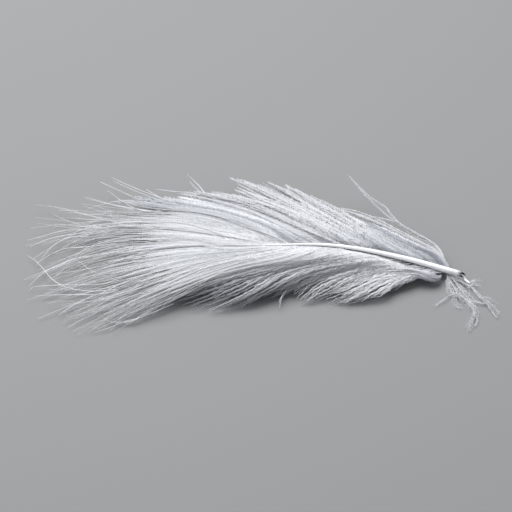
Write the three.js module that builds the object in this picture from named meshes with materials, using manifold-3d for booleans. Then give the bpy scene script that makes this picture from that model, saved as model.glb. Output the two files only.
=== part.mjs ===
// A white marabou feather at rest on a flat surface. A curved quill with a hollow butt carries
// soft down on both sides, a plume of long barbs past its end, one stray lock and the loose
// wisps of the afterfeather. Each group of barbs is one plain solid that reaches its tips.
// Millimetres, +Z up, +X towards the butt, origin under the middle of the feather.

import * as THREE from "three";
import { mergeVertices } from "three/addons/utils/BufferGeometryUtils.js";
import Module from "manifold-3d";

const wasm = await Module();
wasm.setup();

// Driving dimensions
const QUILL_BUTT_RADIUS = 0.85;
const QUILL_TIP_RADIUS = 0.13;
const QUILL_WALL = 0.26;
const QUILL_HOLLOW_DEPTH = 7;
const QUILL_SIDES = 12;
const QUILL_STEPS = 24;
const PITH_RADIUS = 0.2;
const PITH_INSIDE = 1.2;
const FIT_GAP = 0.3;
const DOWN_CEILING = 30;
const PLAN_LIMIT = 80;
const LOCK_SIDES = 8;
const LOCK_STEPS = 10;
const STRAND_STEPS = 18;
const LOCK_FOOT = 0.6;
const LOCK_CROWN = 1.15;
const ROOT_OVERLAP = 1.6;

// The quill's middle line from the butt to its fine tip, as it lies on the down
const SHAFT = new THREE.CatmullRomCurve3([
  new THREE.Vector3(55.3, -9.9, 2.2),
  new THREE.Vector3(38.7, -5.9, 4.8),
  new THREE.Vector3(19.4, -3.1, 6.9),
  new THREE.Vector3(-0.4, -3.6, 7.6),
]);
const SHAFT_LENGTH = SHAFT.getLength();

// How far the shred of pith reaches from the middle of the butt
const PITH_REACH = new THREE.Vector3(2.4, -1.8, -1.4);

// Shares of the shaft that mark the line between the vanes; the tip plume starts at the last
const VANE_SHARES = [0.07, 0.3, 0.6, 0.8, 0.97];

// Where the fan of the tip plume ends on each side, in plan
const FAN_FAR_EDGE = new THREE.Vector2(-72, 25);
const FAN_NEAR_EDGE = new THREE.Vector2(-72, -34);

// Where the far vane stops beside the butt, and the near vane beside the afterfeather, in plan
const FAR_VANE_HEM = 52;
const NEAR_VANE_HEM = [
  new THREE.Vector2(50.3, -10.5),
  new THREE.Vector2(48.6, -16.8),
  new THREE.Vector2(42, -26),
  new THREE.Vector2(40, -PLAN_LIMIT),
];

// Locks of barbs. root is the share of the shaft from butt to tip where the lock grows, tip is
// where it ends in plan, bow is how far its middle swings out from the shaft, width is its half
// width and tall is its height at the tip.
const FAR_LOCKS = [
  { root: 0.1, tip: [17, 14.6], bow: 4.4, width: 2.4, tall: 4.4 },
  { root: 0.2, tip: [9.6, 20.2], bow: 4.2, width: 3.0, tall: 4.6 },
  { root: 0.3, tip: [3.1, 24.5], bow: 4.4, width: 3.4, tall: 4.8 },
  { root: 0.42, tip: [-9.5, 26.9], bow: 5.4, width: 3.8, tall: 5.0 },
  { root: 0.54, tip: [-21.3, 26.4], bow: 5.8, width: 4.0, tall: 5.2 },
  { root: 0.66, tip: [-33, 23.5], bow: 5.6, width: 4.2, tall: 5.2 },
  { root: 0.78, tip: [-46.5, 25.3], bow: 4.6, width: 4.2, tall: 5.0 },
  { root: 0.9, tip: [-52, 20.4], bow: 4.0, width: 4.0, tall: 4.4 },
];
const NEAR_LOCKS = [
  { root: 0.05, tip: [37.5, -14.6], bow: -4.2, width: 1.8, tall: 1.6 },
  { root: 0.09, tip: [30.5, -17.4], bow: -4.6, width: 2.2, tall: 1.6 },
  { root: 0.16, tip: [18.8, -21.2], bow: -4.0, width: 2.8, tall: 1.6 },
  { root: 0.23, tip: [9.5, -21.2], bow: -3.6, width: 3.2, tall: 1.8 },
  { root: 0.32, tip: [4.5, -21.6], bow: -3.2, width: 3.4, tall: 1.8 },
  { root: 0.42, tip: [-11.8, -24], bow: -3.2, width: 3.8, tall: 1.8 },
  { root: 0.54, tip: [-21.8, -23.2], bow: -3.0, width: 4.0, tall: 2.0 },
  { root: 0.68, tip: [-40.9, -28], bow: -3.4, width: 4.0, tall: 2.0 },
  { root: 0.84, tip: [-54, -29.1], bow: -2.6, width: 3.8, tall: 1.8 },
];
const TIP_LOCKS = [
  { root: 0.86, tip: [-62.2, -26.4], bow: -1.6, width: 3.2, tall: 2.0 },
  { root: 0.88, tip: [-63.3, -18], bow: -1.2, width: 3.6, tall: 2.6 },
  { root: 0.9, tip: [-65.4, -11.6], bow: -0.6, width: 4.0, tall: 3.2 },
  { root: 0.92, tip: [-65.2, 0.6], bow: 1.2, width: 4.4, tall: 3.6 },
  { root: 0.9, tip: [-63.6, 7.7], bow: 1.8, width: 4.2, tall: 3.8 },
  { root: 0.88, tip: [-63.8, 17.2], bow: 2.4, width: 3.6, tall: 3.8 },
];

// The stray lock and the wisps of the afterfeather follow paths of their own
const STRAY_PATH = [
  new THREE.Vector3(50.6, -7.2, 2.9),
  new THREE.Vector3(47.2, 2.6, 3.6),
  new THREE.Vector3(36.4, 9.6, 5.4),
  new THREE.Vector3(24.1, 22.5, 8),
];
const STRAY_WIDTH = 1.1;
const WISP_PATHS = [
  [
    new THREE.Vector3(51.4, -10.4, 0.6),
    new THREE.Vector3(57.7, -14.2, 0.7),
    new THREE.Vector3(65.2, -25.6, 0.5),
  ],
  [
    new THREE.Vector3(51.4, -10.4, 0.6),
    new THREE.Vector3(56.9, -19.3, 0.7),
    new THREE.Vector3(58.6, -24.4, 0.6),
    new THREE.Vector3(57.1, -32.5, 0.5),
  ],
  [
    new THREE.Vector3(51.4, -10.4, 0.6),
    new THREE.Vector3(52, -16.6, 0.7),
    new THREE.Vector3(47.6, -21.2, 0.5),
  ],
];
const WISP_WIDTH = 0.85;

// A spindle along +Y, as pairs of share of the width and share of the length: blunt at the
// root, widest a third of the way along and drawn out to a point.
function spindle(steps) {
  const fullness = 1.2;
  const bluntness = 0.25;
  const taper = 2.4;
  return Array.from({ length: steps + 1 }, (_, i) => {
    const share = i / steps;
    return [fullness * share ** bluntness * (1 - share ** taper), share];
  });
}

function lathe(profile, sides) {
  return new THREE.LatheGeometry(
    profile.map(([x, y]) => new THREE.Vector2(x, y)),
    sides,
  );
}

// Moves each vertex of a shape that stands on +Y to place(x, share of the length, z).
function bend(geometry, place) {
  const position = geometry.getAttribute("position");
  for (let i = 0; i < position.count; i++) {
    const moved = place(position.getX(i), position.getY(i), position.getZ(i));
    position.setXYZ(i, moved.x, moved.y, moved.z);
  }
  return geometry;
}

// The level side direction of a curve at a share of its length, seen from above.
function sideOf(curve, share) {
  const tangent = curve.getTangentAt(share);
  return new THREE.Vector3(tangent.y, -tangent.x, 0).normalize();
}

function solidOf(geometry) {
  const plain = new THREE.BufferGeometry()
    .setIndex(geometry.index)
    .setAttribute("position", geometry.getAttribute("position"));
  const merged = mergeVertices(plain, 1e-4);
  return new wasm.Manifold(
    new wasm.Mesh({
      numProp: 3,
      vertProperties: merged.getAttribute("position").array,
      triVerts: new Uint32Array(merged.index.array),
    }),
  );
}

function geometryOf(solid) {
  const mesh = solid.getMesh();
  return new THREE.BufferGeometry()
    .setAttribute("position", new THREE.BufferAttribute(mesh.vertProperties, 3))
    .setIndex(new THREE.BufferAttribute(mesh.triVerts, 1));
}

function joined(solids) {
  return solids.reduce((all, next) => all.add(next));
}

// A round shape swept along a curve with the curve's own frame.
function swept(profile, curve, sides) {
  return bend(lathe(profile, sides), (x, share, z) => {
    const side = sideOf(curve, share);
    const up = side.clone().cross(curve.getTangentAt(share));
    return curve.getPointAt(share).addScaledVector(side, x).addScaledVector(up, z);
  });
}

// Quill: round, tapering evenly to the tip, and hollow for a short way at the butt.
function quillRadius(share) {
  return THREE.MathUtils.lerp(QUILL_BUTT_RADIUS, QUILL_TIP_RADIUS, share);
}

function quillOutside(extra) {
  return Array.from({ length: QUILL_STEPS + 1 }, (_, i) => {
    const share = i / QUILL_STEPS;
    return [quillRadius(share) + extra, share];
  });
}

function quillGeometry() {
  const bore = QUILL_BUTT_RADIUS - QUILL_WALL;
  const hollow = QUILL_HOLLOW_DEPTH / SHAFT_LENGTH;
  const inside = [
    [0, hollow],
    [0.6 * bore, 0.94 * hollow],
    [0.92 * bore, 0.5 * hollow],
    [bore, 0],
  ];
  return swept([...inside, ...quillOutside(0), [0, 1]], SHAFT, QUILL_SIDES);
}

function quillClearance() {
  return solidOf(swept([[0, 0], ...quillOutside(FIT_GAP), [0, 1]], SHAFT, QUILL_SIDES));
}

// Pith: a thin curved shred that starts inside the hollow and sticks out of the butt.
function pithGeometry() {
  const butt = SHAFT.getPointAt(0);
  const out = SHAFT.getTangentAt(0).negate();
  const path = new THREE.QuadraticBezierCurve3(
    butt.clone().addScaledVector(out, -PITH_INSIDE),
    butt.clone().addScaledVector(out, PITH_INSIDE),
    butt.clone().add(PITH_REACH),
  );
  const profile = [
    [0, 0],
    [PITH_RADIUS, 0.08],
    [1.2 * PITH_RADIUS, 0.7],
    [0.7 * PITH_RADIUS, 0.96],
    [0, 1],
  ];
  return swept(profile, path, LOCK_SIDES);
}

// Lock: a spindle of barbs from the shaft to its tip that fills the height down to the surface.
function lockSolid({ root, tip, bow, width, tall }) {
  const start = SHAFT.getPointAt(root);
  start.y -= Math.sign(bow) * ROOT_OVERLAP;
  const end = new THREE.Vector3(tip[0], tip[1], 0);
  const across = new THREE.Vector3(end.y - start.y, start.x - end.x, 0).normalize();
  const middle = start.clone().lerp(end, 0.5).addScaledVector(across, bow);
  const curve = new THREE.QuadraticBezierCurve3(start, middle, end);
  return solidOf(
    bend(lathe(spindle(LOCK_STEPS), LOCK_SIDES), (x, share, z) => {
      const height = THREE.MathUtils.lerp(LOCK_CROWN * start.z, tall, share);
      const plan = curve.getPointAt(share).addScaledVector(sideOf(curve, share), x * width);
      return plan.setZ((height - LOCK_FOOT) / 2 + (z * (height + LOCK_FOOT)) / 2);
    }),
  );
}

// A prism over a plan outline, from the surface up, that bounds one group of locks.
function plot(outline) {
  const shape = new THREE.Shape(outline);
  return solidOf(new THREE.ExtrudeGeometry(shape, { depth: DOWN_CEILING, bevelEnabled: false }));
}

// The shaft's line in plan from butt to tip, moved sideways by half the gap between the vanes.
function shaftLine(shift) {
  return VANE_SHARES.map((share) => {
    const point = SHAFT.getPointAt(share);
    return new THREE.Vector2(point.x, point.y + shift);
  });
}

function farPlot() {
  const edge = FAN_FAR_EDGE.clone().add(new THREE.Vector2(0, FIT_GAP / 2));
  const corners = [-PLAN_LIMIT, FAR_VANE_HEM].map((x) => new THREE.Vector2(x, PLAN_LIMIT));
  return plot([...shaftLine(FIT_GAP / 2), edge, ...corners].reverse());
}

function nearPlot() {
  const edge = FAN_NEAR_EDGE.clone().sub(new THREE.Vector2(0, FIT_GAP / 2));
  const corner = new THREE.Vector2(-PLAN_LIMIT, -PLAN_LIMIT);
  return plot([...shaftLine(-FIT_GAP / 2), edge, corner, ...[...NEAR_VANE_HEM].reverse()]);
}

function tipPlot() {
  const apex = SHAFT.getPointAt(VANE_SHARES.at(-1));
  const inset = new THREE.Vector2(0, FIT_GAP / 2);
  return plot([
    new THREE.Vector2(apex.x - 2 * FIT_GAP, apex.y),
    FAN_FAR_EDGE.clone().sub(inset),
    FAN_NEAR_EDGE.clone().add(inset),
  ]);
}

// A thin lock along its own path. extra widens it, to clear the room that it needs.
function strand(points, width, extra) {
  const curve = new THREE.CatmullRomCurve3(points);
  return solidOf(
    bend(lathe(spindle(STRAND_STEPS), LOCK_SIDES), (x, share, z) => {
      const side = sideOf(curve, share);
      const moved = curve.getPointAt(share).addScaledVector(side, x * (width + extra));
      return moved.setZ(moved.z + z * (width + extra));
    }),
  );
}

const surfacePlot = plot([
  new THREE.Vector2(-PLAN_LIMIT, -PLAN_LIMIT),
  new THREE.Vector2(PLAN_LIMIT, -PLAN_LIMIT),
  new THREE.Vector2(PLAN_LIMIT, PLAN_LIMIT),
  new THREE.Vector2(-PLAN_LIMIT, PLAN_LIMIT),
]);
const quillRoom = quillClearance();
const strayRoom = strand(STRAY_PATH, STRAY_WIDTH, FIT_GAP);

const down = {
  far_vane: joined(FAR_LOCKS.map(lockSolid))
    .intersect(farPlot())
    .subtract(quillRoom)
    .subtract(strayRoom),
  near_vane: joined(NEAR_LOCKS.map(lockSolid)).intersect(nearPlot()).subtract(quillRoom),
  tip_plume: joined(TIP_LOCKS.map(lockSolid)).intersect(tipPlot()).subtract(quillRoom),
  stray_lock: strand(STRAY_PATH, STRAY_WIDTH, 0).subtract(quillRoom),
  afterfeather: joined(WISP_PATHS.map((points) => strand(points, WISP_WIDTH, 0)))
    .intersect(surfacePlot)
    .subtract(quillRoom),
};

// Materials
const horn = new THREE.MeshStandardMaterial({ color: 0xf2f0ea, roughness: 0.35, metalness: 0 });
const driedPith = new THREE.MeshStandardMaterial({ color: 0xe6e1d6, roughness: 0.7, metalness: 0 });
const softDown = new THREE.MeshStandardMaterial({ color: 0xe9ebf0, roughness: 0.9, metalness: 0 });

function piece(name, geometry, material) {
  const mesh = new THREE.Mesh(geometry, material);
  mesh.name = name;
  return mesh;
}

const lying = new THREE.Group();
lying.add(piece("quill", quillGeometry(), horn));
lying.add(piece("pith", pithGeometry(), driedPith));
for (const [name, solid] of Object.entries(down)) {
  lying.add(piece(name, geometryOf(solid), softDown));
}

// The origin goes under the middle of the feather, on the surface.
const box = new THREE.Box3().setFromObject(lying);
const middle = box.getCenter(new THREE.Vector3());
lying.position.set(-middle.x, -middle.y, -box.min.z);

const feather = new THREE.Group();
feather.add(lying);
export default feather;
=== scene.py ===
import math
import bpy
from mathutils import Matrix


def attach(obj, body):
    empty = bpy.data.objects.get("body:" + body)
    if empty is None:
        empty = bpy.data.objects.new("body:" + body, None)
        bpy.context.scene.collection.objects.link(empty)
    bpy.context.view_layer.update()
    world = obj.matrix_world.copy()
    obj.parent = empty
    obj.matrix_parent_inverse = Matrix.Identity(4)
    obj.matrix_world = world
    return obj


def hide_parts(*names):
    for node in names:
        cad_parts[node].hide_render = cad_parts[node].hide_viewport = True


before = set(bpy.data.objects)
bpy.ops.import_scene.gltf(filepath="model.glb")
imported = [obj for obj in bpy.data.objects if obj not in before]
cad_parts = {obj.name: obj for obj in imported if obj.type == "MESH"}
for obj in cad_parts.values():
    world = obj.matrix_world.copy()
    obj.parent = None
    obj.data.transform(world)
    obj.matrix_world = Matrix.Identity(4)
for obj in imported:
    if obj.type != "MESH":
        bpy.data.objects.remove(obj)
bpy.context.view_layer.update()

from types import SimpleNamespace

import bmesh
import bpy
import numpy as np
from mathutils import Vector

# Quill
# The shaft that the whole feather grows on: white horn, filled with pith except at the cut butt,
# where a short end of clear grey horn is hollow. It tapers to a hair and bows as it grew.
# Its places are in millimetres, from the butt to the tip.
MM = 0.001
UP = np.array([0.0, 0.0, 1.0])
QUILL_PATH = [
    (55.4, -7.1, 2.2),
    (38.8, -3.1, 4.8),
    (19.5, -0.3, 6.9),
    (-0.3, -0.8, 7.6),
]
QUILL_LENGTH = 57.0
QUILL_SIDES = 28
QUILL_RINGS = 70
BUTT_RADIUS = 0.87
TIP_RADIUS = 0.18
TAPER = 1.3
BORE_RADIUS = 0.6
BORE_DEPTH = 4.0
BORE_END_RADIUS = 0.3
BORE_END_LENGTH = 0.6
BORE_LIP = 0.05
# Points nearer than these to the axis and to the cut are inside the bore
BORE_WALL = 1.02 * BORE_RADIUS
BORE_FLOOR = 1.1 * BORE_DEPTH
RIM_HEIGHT = -0.02
# The rings outside start at this share of the length and crowd towards the butt
FIRST_RING = 0.001
RING_CROWDING = 1.3
SLANTED_CUT = 0.9
RAGGED_RIM = 0.22
GROOVE_DEPTH = 0.18
GROOVE_SHARPNESS = 6
CLEAR_HORN = 1.7
CLEAR_HORN_FADE = 0.55
HORN_WHITE = (0.995, 0.995, 0.99, 1)
HORN_CHALK = (0.95, 0.95, 0.945, 1)
HORN_CLEAR = (0.6, 0.6, 0.6, 1)
# Painted shade: the inside of the bore is coloured near black, for the shadow in the hollow
PAINTED_BORE_SHADE = (0.05, 0.05, 0.05, 1)
FIBRE_SCALE = (90, 3200, 3200)


def unit(vectors):
    """Vectors with their length brought to 1."""
    return vectors / np.maximum(np.linalg.norm(vectors, axis=-1, keepdims=True), 1e-9)


def hermite(start, end, leave, arrive, u):
    """Points on a smooth curve from start to end, with its slopes at both."""
    return (
        (2 * u ** 3 - 3 * u ** 2 + 1) * start
        + (u ** 3 - 2 * u ** 2 + u) * leave
        + (3 * u ** 2 - 2 * u ** 3) * end
        + (u ** 3 - u ** 2) * arrive
    )


def path_points(path, share):
    """Points on a smooth curve through the places of a path, at shares of its length."""
    path = np.array(path, float)
    steps = np.linalg.norm(np.diff(path, axis=0), axis=1)
    knots = np.concatenate([[0], np.cumsum(steps)]) / steps.sum()
    slopes = np.gradient(path, knots, axis=0)
    share = np.asarray(share, float)
    at = np.clip(np.searchsorted(knots, share, side="right") - 1, 0, len(path) - 2)
    width = (knots[at + 1] - knots[at])[..., None]
    u = (share[..., None] - knots[at][..., None]) / width
    return hermite(path[at], path[at + 1], width * slopes[at], width * slopes[at + 1], u)


def quill_point(share):
    """Places on the quill's axis in mm."""
    return path_points(QUILL_PATH, share)


def straight_tube(rings, sides):
    """A tube along +Z from pairs of height and radius, with a flat start and a pointed end."""
    bm = bmesh.new()
    made = bmesh.ops.create_circle(bm, cap_ends=True, segments=sides, radius=rings[0][1])
    verts = made["verts"]
    bmesh.ops.translate(bm, vec=(0, 0, rings[0][0]), verts=verts)
    edges = list(bm.edges)
    radius = rings[0][1]
    loops = [verts]
    for height, new_radius in rings[1:]:
        made = bmesh.ops.extrude_edge_only(bm, edges=edges)["geom"]
        verts = [item for item in made if isinstance(item, bmesh.types.BMVert)]
        fresh = set(verts)
        edges = [
            item for item in made
            if isinstance(item, bmesh.types.BMEdge) and fresh.issuperset(item.verts)
        ]
        grow = new_radius / radius
        bmesh.ops.scale(bm, vec=(grow, grow, 1), verts=verts)
        bmesh.ops.translate(bm, vec=(0, 0, height - verts[0].co.z), verts=verts)
        radius = new_radius
        loops.append(verts)
    bmesh.ops.pointmerge(bm, verts=loops[-1], merge_co=(0, 0, rings[-1][0]))
    return bm, loops


def bend(bm, path, length):
    """Bends a straight tube, whose height is in mm, along a path."""
    places = np.array([vert.co[:] for vert in bm.verts])
    share = places[:, 2] / length
    step = 0.002
    ahead = unit(path_points(path, share + step) - path_points(path, share - step))
    level = unit(np.cross(UP, ahead))
    above = np.cross(ahead, level)
    bent = path_points(path, share) + places[:, :1] * level + places[:, 1:2] * above
    for vert, place in zip(bm.verts, bent):
        vert.co = place


def finish_piece(bm, name, material, node):
    """Makes an object of a bmesh in mm, which stands for a node of the frame."""
    bmesh.ops.scale(bm, vec=(MM, MM, MM), verts=bm.verts)
    bmesh.ops.recalc_face_normals(bm, faces=bm.faces)
    for face in bm.faces:
        face.smooth = True
    mesh = bpy.data.meshes.new(name)
    bm.to_mesh(mesh)
    bm.free()
    mesh.materials.append(material)
    piece = bpy.data.objects.new(name, mesh)
    bpy.context.scene.collection.objects.link(piece)
    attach(piece, "root")
    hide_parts(node)


def build_quill():
    """A tapering shaft with a bore in its ragged, slanted cut and a groove along its underside."""
    rng = np.random.default_rng(11)
    bore = [
        (BORE_DEPTH, BORE_END_RADIUS),
        (BORE_DEPTH - BORE_END_LENGTH, BORE_RADIUS),
        (BORE_LIP, BORE_RADIUS),
    ]
    rim = [(RIM_HEIGHT, 0.5 * (BORE_RADIUS + BUTT_RADIUS))]
    shares = np.linspace(FIRST_RING, 1, QUILL_RINGS) ** RING_CROWDING
    radii = TIP_RADIUS + (BUTT_RADIUS - TIP_RADIUS) * (1 - shares ** TAPER)
    outside = list(zip(QUILL_LENGTH * shares, radii))
    bm, loops = straight_tube(bore + rim + outside, QUILL_SIDES)
    ragged = rng.uniform(-RAGGED_RIM, RAGGED_RIM, QUILL_SIDES)
    for loop in loops[len(bore) - 1:len(bore) + 2]:
        for vert in loop:
            turn = math.atan2(vert.co.y, vert.co.x)
            slant = SLANTED_CUT * (vert.co.x + vert.co.y)
            vert.co.z += slant + ragged[round(turn / (2 * math.pi) * QUILL_SIDES)]
    in_bore = bm.verts.layers.float.new("bore")
    for vert in bm.verts:
        under = max(0.0, -unit(np.array(vert.co.xy))[1]) ** GROOVE_SHARPNESS
        inner = vert.co.xy.length < BORE_WALL and vert.co.z < BORE_FLOOR
        vert[in_bore] = float(inner)
        if not inner:
            vert.co.xy *= 1 - GROOVE_DEPTH * under * min(1.0, vert.co.z / BORE_DEPTH)
    bend(bm, QUILL_PATH, QUILL_LENGTH)
    return bm


def new_material(name):
    """A material with its nodes, its links and its main shader."""
    material = bpy.data.materials.new(name)
    material.use_nodes = True
    tree = material.node_tree
    return material, tree.nodes, tree.links, tree.nodes["Principled BSDF"]


def colour_ramp(nodes, low, high, start=0.0, end=1.0):
    """A node that turns a value into a colour, from low at start to high at end."""
    node = nodes.new("ShaderNodeValToRGB")
    first, last = node.color_ramp.elements
    first.color = low
    first.position = start
    last.color = high
    last.position = end
    return node


def horn_material():
    """White horn with fine lengthwise fibres, clear and grey at the hollow butt, with painted shade in
    the bore.
    """
    material, nodes, links, shader = new_material("quill_horn")
    shader.inputs["Subsurface Weight"].default_value = 0.6
    shader.inputs["Subsurface Radius"].default_value = (1, 1, 1)
    shader.inputs["Subsurface Scale"].default_value = 0.001
    place = nodes.new("ShaderNodeTexCoord")
    stretch = nodes.new("ShaderNodeMapping")
    stretch.inputs["Scale"].default_value = FIBRE_SCALE
    links.new(place.outputs["Object"], stretch.inputs["Vector"])
    fibre = nodes.new("ShaderNodeTexNoise")
    fibre.inputs["Scale"].default_value = 1.0
    fibre.inputs["Detail"].default_value = 4.0
    links.new(stretch.outputs["Vector"], fibre.inputs["Vector"])
    white = colour_ramp(nodes, HORN_CHALK, HORN_WHITE, start=0.3, end=0.6)
    links.new(fibre.outputs["Fac"], white.inputs["Fac"])
    parts = nodes.new("ShaderNodeSeparateXYZ")
    links.new(place.outputs["Object"], parts.inputs["Vector"])
    clear = nodes.new("ShaderNodeMapRange")
    butt = QUILL_PATH[0][0]
    clear.inputs["From Min"].default_value = (butt - CLEAR_HORN) * MM
    clear.inputs["From Max"].default_value = (butt - CLEAR_HORN_FADE * CLEAR_HORN) * MM
    links.new(parts.outputs["X"], clear.inputs["Value"])
    horn = nodes.new("ShaderNodeMix")
    horn.data_type = "RGBA"
    horn.inputs["B"].default_value = HORN_CLEAR
    links.new(clear.outputs["Result"], horn.inputs["Factor"])
    links.new(white.outputs["Color"], horn.inputs["A"])
    # Painted shade: faces inside the bore are mixed to near black
    bore = nodes.new("ShaderNodeAttribute")
    bore.attribute_name = "bore"
    hollow = nodes.new("ShaderNodeMix")
    hollow.data_type = "RGBA"
    hollow.inputs["B"].default_value = PAINTED_BORE_SHADE
    links.new(bore.outputs["Fac"], hollow.inputs["Factor"])
    links.new(horn.outputs["Result"], hollow.inputs["A"])
    links.new(hollow.outputs["Result"], shader.inputs["Base Color"])
    gloss = nodes.new("ShaderNodeMapRange")
    gloss.inputs["To Min"].default_value = 0.28
    gloss.inputs["To Max"].default_value = 0.5
    links.new(fibre.outputs["Fac"], gloss.inputs["Value"])
    links.new(gloss.outputs["Result"], shader.inputs["Roughness"])
    relief = nodes.new("ShaderNodeBump")
    relief.inputs["Strength"].default_value = 0.35
    relief.inputs["Distance"].default_value = 0.00004
    links.new(fibre.outputs["Fac"], relief.inputs["Height"])
    links.new(relief.outputs["Normal"], shader.inputs["Normal"])
    return material


finish_piece(build_quill(), "quill_horn", horn_material(), "quill")

# Pith
# A papery shred of the dried pith that once filled the hollow end. It sticks out of the bore on
# a thread, hangs over the lower lip and ends in a crumpled white scrap.
PITH_PATH = [
    (54.4, -6.9, 2.35),
    (55.7, -7.3, 2.05),
    (56.4, -8.2, 1.2),
    (57.7, -9.3, 0.75),
]
PITH_LENGTH = 4.6
PITH_SIDES = 10
PITH_RINGS = [
    (0.0, 0.12), (0.6, 0.1), (1.4, 0.08), (2.0, 0.1), (2.3, 0.3), (2.7, 0.4),
    (3.1, 0.36), (3.5, 0.4), (3.9, 0.33), (4.3, 0.25), (4.6, 0.05),
]
PITH_FLATNESS = 0.55
PITH_CRUMPLE = 0.07
PITH_PALE = (0.97, 0.97, 0.95, 1)
PITH_SHADE = (0.78, 0.77, 0.74, 1)
PITH_GRAIN = 3500


def build_pith():
    """A flattened tube that swells to a scrap at its end, with every point crumpled."""
    rng = np.random.default_rng(12)
    bm, _ = straight_tube(PITH_RINGS, PITH_SIDES)
    bmesh.ops.scale(bm, vec=(1, PITH_FLATNESS, 1), verts=bm.verts)
    bend(bm, PITH_PATH, PITH_LENGTH)
    for vert in bm.verts:
        vert.co += Vector(rng.normal(0, PITH_CRUMPLE, 3))
    return bm


def pith_material():
    """Dull off-white with a fine grain of dried cells."""
    material, nodes, links, shader = new_material("dried_pith")
    shader.inputs["Roughness"].default_value = 0.8
    place = nodes.new("ShaderNodeTexCoord")
    grain = nodes.new("ShaderNodeTexNoise")
    grain.inputs["Scale"].default_value = PITH_GRAIN
    links.new(place.outputs["Object"], grain.inputs["Vector"])
    cells = colour_ramp(nodes, PITH_SHADE, PITH_PALE, end=0.6)
    links.new(grain.outputs["Fac"], cells.inputs["Fac"])
    links.new(cells.outputs["Color"], shader.inputs["Base Color"])
    relief = nodes.new("ShaderNodeBump")
    relief.inputs["Strength"].default_value = 0.6
    relief.inputs["Distance"].default_value = 0.00008
    links.new(grain.outputs["Fac"], relief.inputs["Height"])
    links.new(relief.outputs["Normal"], shader.inputs["Normal"])
    return material


finish_piece(build_pith(), "pith_shred", pith_material(), "pith")

# Far vane
# The down on the far side of the quill: long soft barbs, each a fine horn hair fringed with
# barbules, that grow out of the quill's side, sweep towards the tip and gather in locks.
# Spots are places in the raised view, in steps of 0.28 mm across and down from its top left corner.
# A guide is a barb's root as a share of the quill, four spots on its way, the height of its tip,
# how far it arches up, and how far its root lies behind and below the quill's middle.
VIEW_STEP = np.array([0.28, -0.396])
VIEW_MIDDLE = np.array([263.64, 262.07])
FAR_GUIDES = [
    (0.055, (438, 255), (420, 246.5), (394, 233.5), (358, 216), 3.4, 1.6, 0.3, 0.3),
    (0.10, (424, 253.5), (398, 242), (369, 227.5), (337, 210.5), 3.5, 1.6, 0.4, 0.4),
    (0.15, (405, 251.5), (376, 236.5), (346, 219), (318, 202), 3.6, 1.6, 0.5, 0.5),
    (0.20, (392, 247.5), (362, 230), (332, 212), (304, 193), 3.8, 1.6, 0.6, 0.6),
    (0.26, (380, 242), (347, 224), (316, 206), (286, 185), 4.0, 1.6, 0.7, 0.7),
    (0.34, (362, 238), (328, 220), (296, 202), (264, 184), 4.2, 1.6, 0.8, 0.8),
    (0.43, (344, 234), (309, 217), (272, 201), (236, 184), 4.2, 1.6, 0.8, 0.8),
    (0.53, (323, 231), (286, 215), (246, 201), (204, 190), 4.2, 1.6, 0.7, 0.7),
    (0.63, (303, 229), (264, 214), (221, 203), (176, 194), 4.0, 1.6, 0.6, 0.6),
    (0.73, (283, 227), (243, 213), (198, 203), (150, 196), 4.0, 1.6, 0.5, 0.55),
    (0.83, (263, 225), (222, 212), (175, 204), (126, 194), 3.8, 1.6, 0.5, 0.5),
    (0.92, (246, 226), (204, 214), (158, 208), (108, 201), 3.4, 1.5, 0.5, 0.5),
]
# A tuft that stands out of the edge is a guide with its number of barbs and how far apart they end
FAR_TUFTS = [
    (0.19, (375, 238), (345, 217), (327, 206), (310, 196), 4.0, 1.5, 0.5, 0.5, 7, 0.4),
    (0.24, (362, 233), (330, 212), (308, 199), (291, 186), 4.3, 1.5, 0.5, 0.5, 9, 0.4),
    (0.28, (362, 233), (325, 209), (302, 195), (282, 182), 4.4, 1.5, 0.5, 0.5, 12, 0.4),
    (0.33, (350, 228), (312, 206), (288, 191), (267, 181), 4.5, 1.5, 0.5, 0.5, 12, 0.4),
    (0.40, (335, 227), (295, 206), (260, 189), (228, 175), 4.6, 1.5, 0.6, 0.6, 22, 0.4),
    (0.46, (330, 230), (292, 211), (262, 199), (236, 187), 4.5, 1.5, 0.8, 0.8, 16, 0.7),
    (0.56, (312, 229), (272, 211), (236, 200), (204, 192), 4.4, 1.5, 0.8, 0.8, 14, 0.7),
    (0.70, (290, 226), (250, 207), (205, 195), (154, 188), 4.3, 1.5, 1.2, 1.2, 3, 0.5),
    (0.72, (285, 226), (245, 209), (200, 196), (166, 192), 4.3, 1.5, 1.2, 1.2, 3, 0.6),
]
# Strands that run along the edge near the butt, with slits between them: spots with heights in mm
FAR_STRANDS = [
    [(447, 267, 2.2), (441, 256, 3.0), (432, 248, 3.6), (418, 240, 4.2), (394, 227.5, 4.6),
     (376, 218.5, 4.6), (360, 212, 4.4), (344, 208.5, 4.2), (332, 209, 4.0)],
    [(446, 267, 2.2), (439, 254.5, 3.0), (427, 246.5, 3.6), (406, 236.5, 4.2), (378, 223, 4.6),
     (352, 212.5, 4.4), (330, 207, 4.2)],
    [(446, 265, 2.2), (437, 252.5, 3.2), (424, 244.5, 3.8), (404, 235, 4.4), (386, 226, 4.6),
     (362, 215, 4.4), (340, 210, 4.2)],
]
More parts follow.
